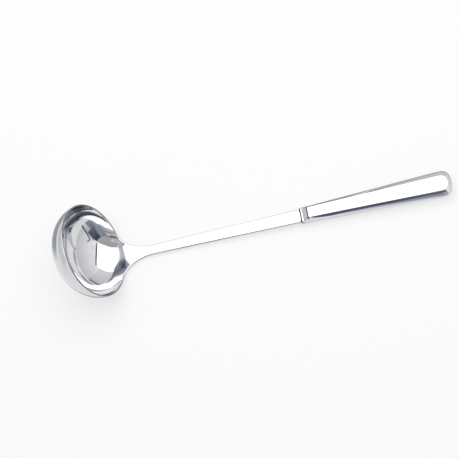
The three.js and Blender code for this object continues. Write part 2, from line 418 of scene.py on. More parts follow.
class NodeBook:
    """A material's or a world's node tree, filled in by code."""

    def __init__(self, owner: bpy.types.Material | bpy.types.World) -> None:
        owner.use_nodes = True
        self.owner = owner
        self.tree = owner.node_tree
        self.tree.nodes.clear()

    @classmethod
    def for_material(cls, name: str) -> "NodeBook":
        """Returns the empty tree of a new material."""
        return cls(bpy.data.materials.new(name))

    def _node(self, kind: str, settings: dict[str, Any], inputs: dict[Any, Any]) -> bpy.types.Node:
        """Adds one node, with its properties set before its sockets.

        Args:
            kind: The node's type.
            settings: Its properties.
            inputs: Values or wires for its sockets, by name or number.

        Returns:
            The node.
        """
        node = self.tree.nodes.new(kind)
        for key, value in settings.items():
            setattr(node, key, value)
        for key, value in inputs.items():
            if isinstance(value, Wire):
                self.tree.links.new(value.socket, node.inputs[key])
            else:
                node.inputs[key].default_value = value
        return node

    def add(self, kind: str, settings: dict[str, Any], inputs: dict[Any, Any], output: Any = 0) -> Wire:
        """Adds one node.

        Args:
            kind: The node's type.
            settings: Its properties.
            inputs: Values or wires for its sockets, by name or number.
            output: The socket that is wanted, by name or number.

        Returns:
            The wire from that socket.
        """
        return Wire(self, self._node(kind, settings, inputs).outputs[output])

    def close(self, shader: Wire, output: str = "ShaderNodeOutputMaterial") -> None:
        """Links a shader to the tree's output."""
        self._node(output, {}, {"Surface": shader})

    def place(self) -> Wire:
        """Returns the place on the object, in metres from its origin."""
        return self.add("ShaderNodeTexCoord", {}, {}, "Object")

    def noise(self, vector: Wire, size: float, detail: float = 2.0, roughness: float = 0.5) -> Wire:
        """Returns soft noise from about 0 to 1, with patches of a size in the vector's units."""
        inputs = {"Vector": vector, "Scale": 1.0 / size, "Detail": detail, "Roughness": roughness}
        return self.add("ShaderNodeTexNoise", {}, inputs)

    def split(self, vector: Wire) -> list[Wire]:
        """Returns a vector's X, Y and Z."""
        return [self.add("ShaderNodeSeparateXYZ", {}, {0: vector}, i) for i in range(3)]

    def stretch(self, vector: Wire, scale: Point) -> Wire:
        """Returns a vector multiplied by a scale for each axis."""
        return self.add("ShaderNodeVectorMath", {"operation": "MULTIPLY"}, {0: vector, 1: scale})

    def blend(self, share: Wire, low: Wire | Tone, high: Wire | Tone) -> Wire:
        """Mixes two colours.

        Args:
            share: The share of the second colour.
            low: The colour at a share of 0.
            high: The colour at a share of 1.

        Returns:
            The mixed colour.
        """
        low, high = (opaque(tone) if isinstance(tone, tuple) else tone for tone in (low, high))
        inputs = {MIX_SHARE: share, MIX_LOW: low, MIX_HIGH: high}
        return self.add("ShaderNodeMix", {"data_type": "RGBA"}, inputs, MIX_RESULT)

    def fade(self, share: Wire | float, low: Wire, high: Wire) -> Wire:
        """Returns a shader mixed from two by a share."""
        return self.add("ShaderNodeMixShader", {}, {0: share, 1: low, 2: high})

    def glow(self, colour: Any) -> Wire:
        """Returns a shader that shows a colour as it is written, whatever the light."""
        return self.add("ShaderNodeEmission", {}, {"Color": colour, "Strength": 1.0})

    def metal(self, colour: Wire, roughness: Wire, height: Wire, depth: float) -> bpy.types.Material:
        """Finishes the tree as bare metal.

        Args:
            colour: The metal's colour.
            roughness: Its roughness.
            height: The height of its surface, in units of the depth.
            depth: The depth of its surface, in metres.

        Returns:
            The material.
        """
        normal = self.add("ShaderNodeBump", {}, {"Strength": 1.0, "Distance": depth, "Height": height})
        inputs = {"Base Color": colour, "Metallic": 1.0, "Roughness": roughness, "Normal": normal}
        self.close(self.add("ShaderNodeBsdfPrincipled", {}, inputs))
        return self.owner


class Grain(Enum):
    """Ways that the polishing lines of a steel piece can run."""

    ROUND_THE_BOWL = "round the bowl and along the stem"
    ALONG_THE_HANDLE = "along the handle"


@dataclass(frozen=True)
class Surface:
    """A surface that a finish is worked out on: its node tree, a place on it and how the ladle lies."""

    book: NodeBook
    place: Wire
    sizes: LadleSizes
    placement: Matrix


@dataclass(frozen=True)
class PolishedSteel:
    """Mirror polished stainless steel with fine polishing lines and a faint handling haze.

    The bowl has a painted dark line round its rim, on the cut edge, standing in for a dark reflection. The
    handle has painted dark lines along its lip and in the corner behind its flute, standing in for shade and
    dark reflections.
    """

    name: str
    tone: Tone
    haze_tone: Tone
    grain: Grain
    roughness: float = 0.05
    haze_roughness: float = 0.035
    line_roughness: float = 0.02
    line_pitch: float = 0.35
    line_run: float = 24.0
    line_depth: float = 0.00035
    line_turn: Span = (-4.0, 8.0)
    wave_length: float = 14.0
    wave_depth: float = 0.006
    haze_size: float = 22.0
    haze_range: Span = (0.42, 0.72)
    # Painted dark lines along the handle's lip and behind its flute, standing in for shade and dark
    # reflections.
    painted_line_tone: Tone = (0.085, 0.083, 0.09)
    painted_line_width: float = 0.75
    lip_softness: Span = (0.6, 1.2)
    corner_softness: Span = (0.4, 1.0)
    corner_rise: Span = (0.3, 0.4)
    # Painted dark line round the rim's cut edge, standing in for a dark reflection.
    painted_rim_line_tone: Tone = (0.2, 0.2, 0.215)
    edge_width: float = 0.3
    edge_softness: Span = (0.4, 1.0)
    edge_stop: Span = (0.84, 0.89)

    def material(self, sizes: LadleSizes, placement: Matrix) -> bpy.types.Material:
        """Makes the material.

        Args:
            sizes: The ladle's sizes, which place the bowl's axis.
            placement: The matrix from the stem's frame to the part's frame.

        Returns:
            The node material.
        """
        book = NodeBook.for_material(self.name)
        place = book.place()
        surface = Surface(book, place, sizes, placement)
        lines = self._lines(surface)
        haze = book.noise(place, self.haze_size * MM, detail=3.0, roughness=0.55).step(*self.haze_range)
        waves = book.noise(place, self.wave_length * MM, detail=1.0, roughness=0.4)
        roughness = self.roughness + haze * self.haze_roughness + lines * self.line_roughness
        height = waves * (self.wave_depth * MM) + lines * (self.line_depth * MM)
        colour = book.blend(haze, self.tone, self.haze_tone)
        if self.grain is Grain.ALONG_THE_HANDLE:
            # Painted dark lines along the lip and behind the flute stand in for shade and dark reflections.
            colour = book.blend(self._painted_dark_lines(surface), colour, self.painted_line_tone)
        else:
            # Painted dark line round the rim stands in for a dark reflection.
            colour = book.blend(self._painted_rim_line(surface), colour, self.painted_rim_line_tone)
        return book.metal(colour, roughness, height, depth=1.0)

    @staticmethod
    def _mouth_place(surface: Surface) -> list[Wire]:
        """Turns the place into the frame of the bowl's mouth, from the mouth's middle.

        Args:
            surface: The surface that is polished.

        Returns:
            X towards the neck, Y across and Z out of the mouth.
        """
        book, sizes = surface.book, surface.sizes
        centre = surface.placement @ Vector((sizes.bowl_centre_x, 0.0, sizes.bowl_rise - sizes.neck_drop))
        rotation = (0.0, sizes.angle - sizes.rest_tilt, 0.0)
        inputs = {"Vector": surface.place, "Location": centre, "Rotation": rotation}
        return book.split(book.add("ShaderNodeMapping", {"vector_type": "TEXTURE"}, inputs))

    def _painted_rim_line(self, surface: Surface) -> Wire:
        """Draws a painted dark line, standing in for a dark reflection, on the cut edge that runs round the
        rim and stops at the neck.

        Args:
            surface: The surface that is polished.

        Returns:
            The share of the painted line, from 0 to 1.
        """
        ahead, _, out = self._mouth_place(surface)
        edge = 1.0 - abs(out).step(*scaled(self.edge_softness, self.edge_width * MM))
        return edge * (1.0 - ahead.step(*scaled(self.edge_stop, surface.sizes.mid_radius * MM)))

    def _painted_dark_lines(self, surface: Surface) -> Wire:
        """Draws painted dark lines along the lip and in the corner behind the flute, standing in for shade
        and dark reflections.

        Args:
            surface: The surface that is polished.

        Returns:
            The share of the painted lines, from 0 to 1.
        """
        sizes = surface.sizes
        x, _, z = surface.book.split(surface.place)
        width = self.painted_line_width * MM
        lip = surface.placement @ Vector((sizes.stem_length + self.painted_line_width / 2, 0.0, 0.0))
        corner = surface.placement @ Vector((sizes.panel_front - self.painted_line_width / 4, 0.0, 0.0))
        high = abs(z - corner.z).step(*scaled(self.corner_rise, sizes.handle_front_thickness * MM))
        lip_line = 1.0 - abs(x - lip.x).step(*scaled(self.lip_softness, width))
        corner_line = 1.0 - abs(x - corner.x).step(*scaled(self.corner_softness, width))
        return lip_line.most(corner_line * high)

    def _lines(self, surface: Surface) -> Wire:
        """Draws the polishing lines.

        Args:
            surface: The surface that is polished.

        Returns:
            The pattern, from 0 to 1.
        """
        book, place = surface.book, surface.place
        across = 1.0 / (self.line_pitch * MM)
        along = 1.0 / (self.line_run * MM)
        straight = book.noise(book.stretch(place, (along, across, across)), 1.0)
        if self.grain is Grain.ALONG_THE_HANDLE:
            return straight
        ahead, aside, out = self._mouth_place(surface)
        radius = (ahead**2.0 + aside**2.0) ** 0.5
        round_place = book.add("ShaderNodeCombineXYZ", {}, {0: radius * across, 1: out * across})
        rings = book.noise(round_place, 1.0)
        mouth_x = surface.placement.translation.x
        past_rim = book.split(place)[0].step(*(mouth_x + reach * MM for reach in self.line_turn))
        return rings * (1.0 - past_rim) + straight * past_rim


@dataclass(frozen=True)
class GroundWeld:
    """A weld bead ground flush and polished, a little duller than the steel beside it."""

    name: str = "ground_weld"
    tone: Tone = (0.52, 0.53, 0.55)
    tint_tone: Tone = (0.48, 0.46, 0.44)
    tint_size: float = 7.2
    tint_range: Span = (0.4, 0.75)
    roughness: float = 0.16
    ripple_roughness: float = 0.08
    ripple_size: float = 0.9
    ripple_depth: float = 0.01

    def material(self) -> bpy.types.Material:
        """Makes the material.

        Returns:
            The node material.
        """
        book = NodeBook.for_material(self.name)
        place = book.place()
        ripple = book.noise(place, self.ripple_size * MM)
        tint = book.noise(place, self.tint_size * MM).step(*self.tint_range)
        colour = book.blend(tint, self.tone, self.tint_tone)
        roughness = self.roughness + self.ripple_roughness * ripple
        return book.metal(colour, roughness, ripple, self.ripple_depth * MM)


@dataclass(frozen=True)
class BrazeFiller:
    """Yellowish filler metal, rough as it set."""

    name: str = "braze_filler"
    tone: Tone = (0.6, 0.52, 0.34)
    scale_tone: Tone = (0.2, 0.15, 0.1)
    scale_size: float = 2.4
    scale_range: Span = (0.5, 0.7)
    roughness: float = 0.38
    lump_roughness: float = 0.2
    lump_size: float = 0.8
    lump_depth: float = 0.1

    def material(self) -> bpy.types.Material:
        """Makes the material.

        Returns:
            The node material.
        """
        book = NodeBook.for_material(self.name)
        place = book.place()
        lumps = book.noise(place, self.lump_size * MM, detail=4.0)
        scale = book.noise(place, self.scale_size * MM, detail=3.0).step(*self.scale_range)
        colour = book.blend(scale, self.tone, self.scale_tone)
        roughness = self.roughness + self.lump_roughness * lumps
        return book.metal(colour, roughness, lumps, self.lump_depth * MM)


@dataclass
class BowlAndStem:
    """The pressing: bowl, neck, stem and tang in one sheet of steel with rounded edges."""

    sizes: LadleSizes
    finish: PolishedSteel
    rim_round: float = 0.6
    rim_inset: float = 0.06
    stem_round: float = 1.15
    edge_power: float = 2.2
    shoulder_run: float = 0.8
    rings: int = 64
    neck_columns: int = 48
    rim_columns: int = 208
    neck_rows: int = 44
    stem_rows: int = 70
    shoulder_rows: int = 10
    tang_rows: int = 8
    edge_steps: int = 10

    def build(self, placement: Matrix) -> bpy.types.Object:
        """Builds the pressing and dresses it.

        Args:
            placement: The matrix from the stem's frame to the part's frame.

        Returns:
            The finished piece.
        """
        middle, edge, half, edge_round = self._middle_sheet()
        normals = middle.normals()
        outward = self._outward(middle.points[edge], normals[edge])
        skin = Skin()
        upper = skin.add(middle.points + normals * half[:, None])
        lower = skin.add(middle.points - normals * half[:, None])
        skin.faces += [[int(upper[i]) for i in face] for face in middle.faces]
        skin.faces += [[int(lower[i]) for i in face[::-1]] for face in middle.faces]
        rows = [upper[edge]]
        for step in range(1, self.edge_steps):
            turn = math.pi * step / self.edge_steps
            swell = edge_round[edge, None] * math.sin(turn) ** (2 / self.edge_power)
            lift = math.copysign(abs(math.cos(turn)) ** (2 / self.edge_power), math.cos(turn))
            points = middle.points[edge] + outward * swell + normals[edge] * (half[edge] * lift)[:, None]
            rows.append(skin.add(points))
        rows.append(lower[edge])
        skin.quads(np.array(rows)[::-1], closed=True)
        piece = skin.to_object("pressed_bowl_and_stem", placement)
        piece.data.materials.append(self.finish.material(self.sizes, placement))
        return piece

    def _middle_sheet(self) -> tuple[Skin, Array, Array, Array]:
        """Lays out the middle of the sheet.

        Returns:
            The sheet, the numbers of the points round its edge, and for each point half its thickness
            and the width of the rounded edge.
        """
        sheet = Skin()
        columns = self._columns()
        last_turn = math.acos(self.rim_round / self.sizes.mid_depth)
        turns = last_turn * np.arange(1, self.rings + 1) / self.rings
        bowl = sheet.add(self._bowl_points(columns[None, :], turns[:, None]))
        pole = sheet.add(self._bowl_points(np.zeros(1), np.zeros(1)))
        sheet.fan(int(pole[0]), bowl[0])
        sheet.quads(bowl[::-1], closed=True)
        strip, strip_half, strip_round = self._strip_points()
        stem = sheet.add(strip)
        neck = self.neck_columns + 1
        sheet.quads(np.concatenate([bowl[-1:, :neck], stem])[::-1])
        half = np.full(len(sheet.points), self.sizes.bowl_wall / 2 - self.rim_inset)
        half[stem] = strip_half
        edge_round = np.full(len(sheet.points), self.rim_round)
        edge_round[stem] = strip_round
        far_rim = bowl[-1, neck - 1:]
        edge = [far_rim, bowl[-1, :1], stem[:, 0], stem[-1, 1:-1], stem[::-1, -1]]
        return sheet, np.concatenate(edge), half, edge_round

    def _columns(self) -> Array:
        """Lays out the directions of the bowl's meridians.

        Returns:
            The angles round the mouth: the neck's columns first, then the rest.
        """
        neck = math.asin(self.sizes.neck_spread / 2 / self.sizes.mid_radius)
        across = np.linspace(-1.0, 1.0, self.neck_columns + 1)
        rest = np.linspace(neck, 2 * math.pi - neck, self.rim_columns + 1)[1:-1]
        return np.concatenate([np.arcsin(across * math.sin(neck)), rest])

    def _bowl_points(self, azimuth: Array, turn: Array) -> Array:
        """Finds points of the bowl's middle surface, drawn out onto the tangent sheet at the neck.

        Args:
            azimuth: Directions round the mouth, 0 towards the neck.
            turn: Angles from the deepest point, a quarter turn at the rim.

        Returns:
            The points' places.
        """
        sizes = self.sizes
        ahead = sizes.mid_radius * np.sin(turn) * np.cos(azimuth)
        across = sizes.mid_radius * np.sin(turn) * np.sin(azimuth)
        height = -sizes.mid_depth * np.cos(turn) * np.ones_like(azimuth)
        x = sizes.bowl_centre_x + ahead * math.cos(sizes.angle) + height * math.sin(sizes.angle)
        z = sizes.bowl_rise - ahead * math.sin(sizes.angle) + height * math.cos(sizes.angle)
        spread = sizes.neck_spread / 2
        share = 1.0 - smooth(np.abs(across), spread, spread + sizes.neck_blend)
        past_touch = (x > sizes.touch_x(across)) & (z < sizes.bowl_rise)
        flatten = share * (1.0 - sizes.neck_ridge)
        z = z - np.where(past_touch, flatten * (z - sizes.sheet_sag(across)), 0.0)
        return np.stack([x, across, z - sizes.neck_drop], axis=-1)

    def _strip_points(self) -> tuple[Array, Array, Array]:
        """Lays out the neck, the stem and the tang.

        Returns:
            Rows of points from the neck to the tang's end, and for each point half the thickness and
            the width of the rounded edge.
        """
        sizes = self.sizes
        across = np.linspace(-1.0, 1.0, self.neck_columns + 1)[None, :]
        neck_end = float(sizes.rim_x(sizes.neck_spread / 2)) + sizes.neck_length
        end_half = float(sizes.stem_half(neck_end)) - self.stem_round
        flare = sizes.neck_spread / 2 - end_half
        share = (np.arange(1, self.neck_rows + 1) / self.neck_rows)[:, None]
        turn = QUARTER * share
        y = across * (end_half + flare * (1.0 - np.sin(turn)))
        reach = mix(share, 1.0 - np.cos(turn), across**2)
        level = smooth(reach, 0.0, 1.0)
        x = mix(sizes.rim_x(y) - self.rim_round * math.sin(sizes.angle), neck_end, reach)
        height = sizes.sheet_sag(y) + sizes.ridge_rise(x, y) - sizes.neck_drop
        neck = np.stack([x, y, height * (1.0 - level)], axis=-1)
        neck_half = mix(sizes.bowl_wall / 2 - self.rim_inset, sizes.stem_thickness / 2, level)

        shoulder = sizes.stem_length - sizes.fit_gap
        shoulder_start = shoulder - self.shoulder_run
        tang_end = sizes.stem_length + sizes.tang_length
        stem_x = np.concatenate([
            np.linspace(neck_end, shoulder_start, self.stem_rows + 1)[1:],
            np.linspace(shoulder_start, shoulder, self.shoulder_rows + 1)[1:],
            np.linspace(shoulder, tang_end - self.stem_round, self.tang_rows + 1)[1:],
        ])
        step = smooth(stem_x, shoulder_start, shoulder)
        half_width = mix(sizes.stem_half(stem_x), sizes.tang_width / 2, step) - self.stem_round
        half_thickness = mix(sizes.stem_thickness, sizes.tang_thickness, step) / 2
        rows = np.broadcast_to(stem_x[:, None], (len(stem_x), across.shape[1]))
        stem = np.stack([rows, half_width[:, None] * across, np.zeros_like(rows)], axis=-1)
        stem_half = np.broadcast_to(half_thickness[:, None], rows.shape)
        neck_round = mix(self.rim_round, self.stem_round, level)
        stem_round = np.full_like(rows, self.stem_round)
        pairs = ((neck, stem), (neck_half, stem_half), (neck_round, stem_round))
        points, half, edge_round = (np.concatenate(pair) for pair in pairs)
        return points, half, edge_round

    def _outward(self, points: Array, normals: Array) -> Array:
        """Finds the directions out of the sheet's edge.

        Args:
            points: The points along the edge.
            normals: The sheet's normals there.

        Returns:
            Directions of length 1, square to the edge and to the normals.
        """
        along = np.roll(points, -1, axis=0) - np.roll(points, 1, axis=0)
        out = unit(np.cross(along, normals))
        mouth = np.array([math.sin(self.sizes.angle), 0.0, math.cos(self.sizes.angle)])
        far_rim = self.rim_columns // 2
        return out if float(out[far_rim] @ mouth) > 0.0 else -out


class Side(Enum):
    """The two half shells of the handle, by the sign of their height."""

    UPPER = 1.0
    LOWER = -1.0


@dataclass(frozen=True)
class Taper:
    """A straight taper in plan: where its front and its end lie, and how wide it is there."""

    front: float
    end: float
    front_width: float
    end_width: float

    def half(self, x: Any) -> Any:
        """Returns half the width at a place along the taper."""
        return mix(self.front_width, self.end_width, (x - self.front) / (self.end - self.front)) / 2


@dataclass
class HandlePlan:
    """Outlines of the handle seen square to its panels, from the middle of the front to the same place."""

    sizes: LadleSizes
    front_corner: float = 0.9
    panel_corner: float = 0.5
    slot_side: float = 0.01
    slot_steps: int = 8
    front_steps: int = 10
    corner_steps: int = 12
    side_steps: int = 80
    end_steps: int = 56

    @property
    def slot_half(self) -> float:
        """Half the width of the slot that the tang goes through."""
        return self.sizes.tang_width / 2 + self.sizes.fit_gap

    @property
    def half_count(self) -> int:
        """Number of points from the middle of the front to the tip of the end."""
        return self.slot_steps + self.front_steps + self.corner_steps + self.side_steps + self.end_steps

    def outline(self, taper: Taper, round_off: float, corner: float) -> Array:
        """Lays out one closed outline.

        Args:
            taper: The outline's straight sides.
            round_off: Length of the rounded end.
            corner: Radius of the front's corners.

        Returns:
            The outline's X and Y, with equal steps on every outline.
        """
        front, end = taper.front, taper.end
        straight = taper.front_width / 2 - corner
        slot_share = self.slot_half / (self.sizes.handle_front_width / 2 - self.front_corner)
        shares = np.concatenate([
            np.linspace(0.0, slot_share, self.slot_steps),
            np.linspace(slot_share + self.slot_side, 1.0, self.front_steps),
        ])
        turn = QUARTER * np.arange(1, self.corner_steps + 1) / self.corner_steps
        corner_x = front + corner * (1 - np.cos(turn))
        corner_y = straight + (taper.half(front + corner) - straight) * np.sin(turn)
        side_x = np.linspace(front + corner, end - round_off, self.side_steps + 1)[1:]
        end_turn = QUARTER * np.arange(1, self.end_steps + 1) / self.end_steps
        power = 2 / self.sizes.end_power
        end_x = end - round_off + round_off * np.sin(end_turn) ** power
        end_y = taper.half(end_x) * np.maximum(np.cos(end_turn), 0.0) ** power
        end_y[-1] = 0.0
        x = np.concatenate([np.full_like(shares, front), corner_x, side_x, end_x])
        y = np.concatenate([shares * straight, corner_y, taper.half(side_x), end_y])
        near = np.stack([x, y], axis=-1)
        far = near[-2:0:-1] * (1.0, -1.0)
        return np.concatenate([near, far])

    def seam(self) -> Array:
        """Lays out the outline at the seam.

        Returns:
            The outline's X and Y.
        """
        sizes = self.sizes
        widths = (sizes.handle_front_width, sizes.handle_end_width)
        taper = Taper(sizes.stem_length, sizes.handle_end, *widths)
        return self.outline(taper, sizes.end_round, self.front_corner)

    def panel(self) -> Array:
        """Lays out the outline of the flat panel.

        Returns:
            The outline's X and Y.
        """
        sizes = self.sizes
        widths = (sizes.panel_front_width, sizes.panel_end_width)
        taper = Taper(sizes.panel_front, sizes.panel_end, *widths)
        return self.outline(taper, sizes.panel_round, self.panel_corner)

    def inner_seam(self) -> Array:
        """Lays out the outline of the hollow at the seam.

        Returns:
            The outline's X and Y.
        """
        sizes = self.sizes
        front = sizes.stem_length + sizes.front_wall
        end = sizes.handle_end - sizes.shell_wall
        outer = (sizes.handle_front_width, sizes.handle_end_width)
        widths = (width - 2 * sizes.shell_wall for width in outer)
        return self.outline(Taper(front, end, *widths), sizes.end_round, self.panel_corner)

    def inner_panel(self) -> Array:
        """Lays out the outline of the hollow under the panel.

        Returns:
            The outline's X and Y.
        """
        sizes = self.sizes
        front = sizes.panel_front + sizes.shell_wall
        end = sizes.panel_end - sizes.shell_wall
        outer = (sizes.panel_front_width, sizes.panel_end_width)
        widths = (width - sizes.shell_wall for width in outer)
        return self.outline(Taper(front, end, *widths), sizes.panel_round, self.panel_corner)

    def front_share(self) -> Array:
        """Marks the front of an outline.

        Returns:
            1 on the front, 0 on the sides and the end, and a smooth step round each corner.
        """
        flat = np.ones(self.slot_steps + self.front_steps)
        corner = 1.0 - smooth(np.arange(1, self.corner_steps + 1) / self.corner_steps, 0.0, 1.0)
        rest = np.zeros(self.side_steps + self.end_steps)
        near = np.concatenate([flat, corner, rest])
        return np.concatenate([near, near[-2:0:-1]])

    def in_slot(self) -> Array:
        """Returns whether each point lies on the slot for the tang."""
        near = np.arange(self.half_count) < self.slot_steps
        return np.concatenate([near, near[-2:0:-1]])


@dataclass
class HandleShell:
    """One pressed half shell: flat panel, swelling flanks, rounded end and a fluted front with a lip."""

    plan: HandlePlan
    side: Side
    finish: PolishedSteel
    seam_gap: float = 0.02
    flank_tilt: float = 27.0
    flank_tension: float = 1.6
    flute_power: float = 1.8
    flute_share: float = 0.985
    flute_tuck: float = 0.35
    edge_round: float = 0.35
    lip_round: float = 0.45
    flank_steps: int = 26
    lip_steps: int = 8
    fillet_steps: int = 7

    @property
    def sizes(self) -> LadleSizes:
        """Sizes of the whole ladle."""
        return self.plan.sizes

    def build(self, placement: Matrix) -> bpy.types.Object:
        """Builds the shell and dresses it.

        Args:
            placement: The matrix from the stem's frame to the part's frame.

        Returns:
            The finished piece.
        """
        skin = Skin()
        outside = skin.add(self._outside())
        skin.quads(outside, closed=True)
        skin.cap(outside[-1])
        hollow = np.stack([self._level(self.plan.inner_seam(), self._seam_heights()), self._roof()])
        inside = skin.add(hollow * (1.0, 1.0, self.side.value))
        skin.quads(np.stack([inside[0], outside[0]]), closed=True)
        skin.quads(inside[::-1], closed=True)
        skin.cap(inside[-1][::-1])
        name = f"handle_{self.side.name.lower()}_half"
        piece = skin.to_object(name, placement, HANDLE_SHARP)
        piece.data.materials.append(self.finish.material(self.sizes, placement))
        return piece

    def _seam_heights(self) -> Array:
        """Works out the height of the shell's lower edge.

        Returns:
            The heights, raised where the tang goes through.
        """
        seam = self.sizes.weld_height / 2 + self.seam_gap
        slot = self.sizes.tang_thickness / 2 + self.sizes.fit_gap
        return np.where(self.plan.in_slot(), slot, seam)

    @staticmethod
    def _level(outline: Array, heights: Array) -> Array:
        """Returns an outline's points at given heights."""
        return np.column_stack([outline, heights])

    def _roof(self) -> Array:
        """Returns the points of the hollow's outline under the panel."""
        outline = self.plan.inner_panel()
        return self._level(outline, self.sizes.panel_height(outline[:, 0]) - self.sizes.shell_wall)

    def _outside(self) -> Array:
        """Lays out the outer surface.

        Returns:
            Rows of points from the seam up the flanks and the flute, over the panel's edge and onto it.
        """
        seam, panel = self.plan.seam(), self.plan.panel()
        span = np.linalg.norm(panel - seam, axis=1)
        top = self.sizes.panel_height(panel[:, 0])
        base = self._seam_heights()
        front = self.plan.front_share()
        lip = (self.sizes.lip_thickness / 2 - base) / (top - base)
        rows = []
        for inset, rise in self._profile(span, top - base, lip, front):
            plan = seam + (panel - seam) * inset[:, None]
            height = mix(base, top, rise)
            slide = np.where(inset > 1.0, plan[:, 0] - panel[:, 0], 0.0)
            slope = self.sizes.panel_height(1.0) - self.sizes.panel_height(0.0)
            rows.append(self._level(plan, (height + slope * slide) * self.side.value))
        return np.stack(rows)

    def _profile(self, span: Array, height: Array, lip: Array, front: Array) -> Profile:
        """Works out the section of the shell at each point of its outline.

        Args:
            span: Distance in plan from the seam to the panel's edge.
            height: Height from the seam to the panel.
            lip: Share of that height that the front's lip takes.
            front: Share of the front's section, 0 where the flank's holds.

        Returns:
            Pairs of the share of the way in and the share of the way up, from the seam to the panel.
        """
        fillet = self.edge_round / np.hypot(span, height)
        bend = np.maximum(1.0 - span * math.tan(math.radians(self.flank_tilt)) / height, 0.0)
        flank = [self._flank(s * (1.0 - fillet / 2), bend) for s in np.linspace(0.0, 1.0, self.flank_steps)]
        flute = self._front_section(span, height, lip, fillet)
        pairs = [(mix(a[0], b[0], front), mix(a[1], b[1], front)) for a, b in zip(flank, flute)]
        start_in, start_up = pairs[-1]
        land = self.edge_round / span
        for t in np.linspace(0.0, 1.0, self.fillet_steps + 1)[1:]:
            along = (1 - t) ** 2 * start_in + 2 * t * (1 - t) + t**2 * (1.0 + land)
            up = (1 - t) ** 2 * start_up + 2 * t * (1 - t) + t**2
            pairs.append((along, up))
        pairs.append((1.0 + 2.0 * land, np.ones_like(span)))
        return pairs

    def _flank(self, share: Array, bend: Array) -> tuple[Array, Array]:
        """Finds a place on the flank, which leaves the seam upright and meets the panel at its tilt.

        Args:
            share: Share of the way from the seam to the panel.
            bend: Height at which the two end tangents meet, as a share of the flank's height.

        Returns:
            How far in and how far up the place lies.
        """
        pull = 2 * self.flank_tension * share * (1 - share)
        whole = (1 - share) ** 2 + pull + share**2
        return share**2 / whole, (pull * bend + share**2) / whole

    def _front_section(self, span: Array, height: Array, lip: Array, fillet: Array) -> Profile:
        """Works out the front's section: an upright lip with a rounded edge, then the hollow flute.

        Args:
            span: Distance in plan from the seam to the panel's edge.
            height: Height from the seam to the panel.
            lip: Share of that height that the lip takes.
            fillet: Share of the flank that the panel's rounded edge takes.

        Returns:
            Pairs of the share of the way in and the share of the way up.
        """
        drop = self.lip_round / height
        ledge = self.lip_round / span
        pairs = [(np.zeros_like(span), np.zeros_like(span))]
        for t in np.linspace(0.0, 1.0, self.lip_steps):
            inset = t**2 * ledge
            rise = (1 - t) ** 2 * (lip - drop) + 2 * t * (1 - t) * lip + t**2 * lip
            pairs.append((inset, rise))
        for s in np.linspace(0.0, 1.0, self.flank_steps - self.lip_steps)[1:]:
            place = mix(ledge, 1.0, s)
            hollow = 1.0 - (1.0 - (s * self.flute_share) ** self.flute_power) ** (1 / self.flute_power)
            full = 1.0 - (1.0 - self.flute_share**self.flute_power) ** (1 / self.flute_power)
            pairs.append((place, mix(lip, 1.0 - self.flute_tuck * fillet, hollow / full)))
        return pairs


@dataclass
class SeamWeld:
    """The bead that joins the two half shells along both sides and round the end."""

    plan: HandlePlan
    finish: GroundWeld
    crown: float = 0.03
    inset: float = 0.05
    ripple_depth: float = 0.008
    ripple_pitch: float = 1.1
    step_length: float = 0.22
    crown_steps: int = 8

    def build(self, placement: Matrix) -> bpy.types.Object:
        """Builds the bead and dresses it.

        Args:
            placement: The matrix from the stem's frame to the part's frame.

        Returns:
            The finished piece.
        """
        path = self._path()
        along = np.gradient(path, axis=0)
        outward = unit(np.column_stack([along[:, 1], -along[:, 0]]))
        outward *= np.sign(outward[0, 1] * path[0, 1])
        travelled = np.concatenate([[0.0], np.cumsum(np.linalg.norm(np.diff(path, axis=0), axis=1))])
        ripple = self.ripple_depth * np.sin(2 * math.pi * travelled / self.ripple_pitch)
        half = self.plan.sizes.weld_height / 2
        rows = []
        for share in np.linspace(-1.0, 1.0, self.crown_steps + 1):
            crown = (self.crown + ripple) * (1.0 - share**2) - self.inset
            plan = path + outward * crown[:, None]
            rows.append(np.column_stack([plan, np.full(len(path), half * share)]))
        for share in (1.0, -1.0):
            plan = path - outward * self.plan.sizes.shell_wall
            rows.append(np.column_stack([plan, np.full(len(path), half * share)]))
        skin = Skin()
        grid = skin.add(np.stack(rows, axis=1))
        skin.quads(grid, closed=True)
        skin.cap(grid[0][::-1])
        skin.cap(grid[-1])
        piece = skin.to_object("handle_seam_bead", placement, HANDLE_SHARP)
        piece.data.materials.append(self.finish.material())
        return piece

    def _path(self) -> Array:
        """Lays out the seam's line.

        Returns:
            Points in even steps, from one front corner round the end to the other.
        """
        seam = self.plan.seam()
        first = self.plan.slot_steps + self.plan.front_steps + self.plan.corner_steps
        line = seam[first:len(seam) - first + 1]
        lengths = np.linalg.norm(np.diff(line, axis=0), axis=1)
        travelled = np.concatenate([[0.0], np.cumsum(lengths)])
        even = np.linspace(0.0, travelled[-1], int(travelled[-1] / self.step_length))
        return np.column_stack([np.interp(even, travelled, line[:, i]) for i in range(2)])


@dataclass(frozen=True)
class TangBraze:
    """The filler round the tang, which keeps its solid and gets a finish."""

    finish: BrazeFiller

    def dress(self) -> bpy.types.Object:
        """Gives the solid its material.

        Returns:
            The solid.
        """
        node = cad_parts["tang_braze"]
        node.data.materials.clear()
        node.data.materials.append(self.finish.material())
        return node


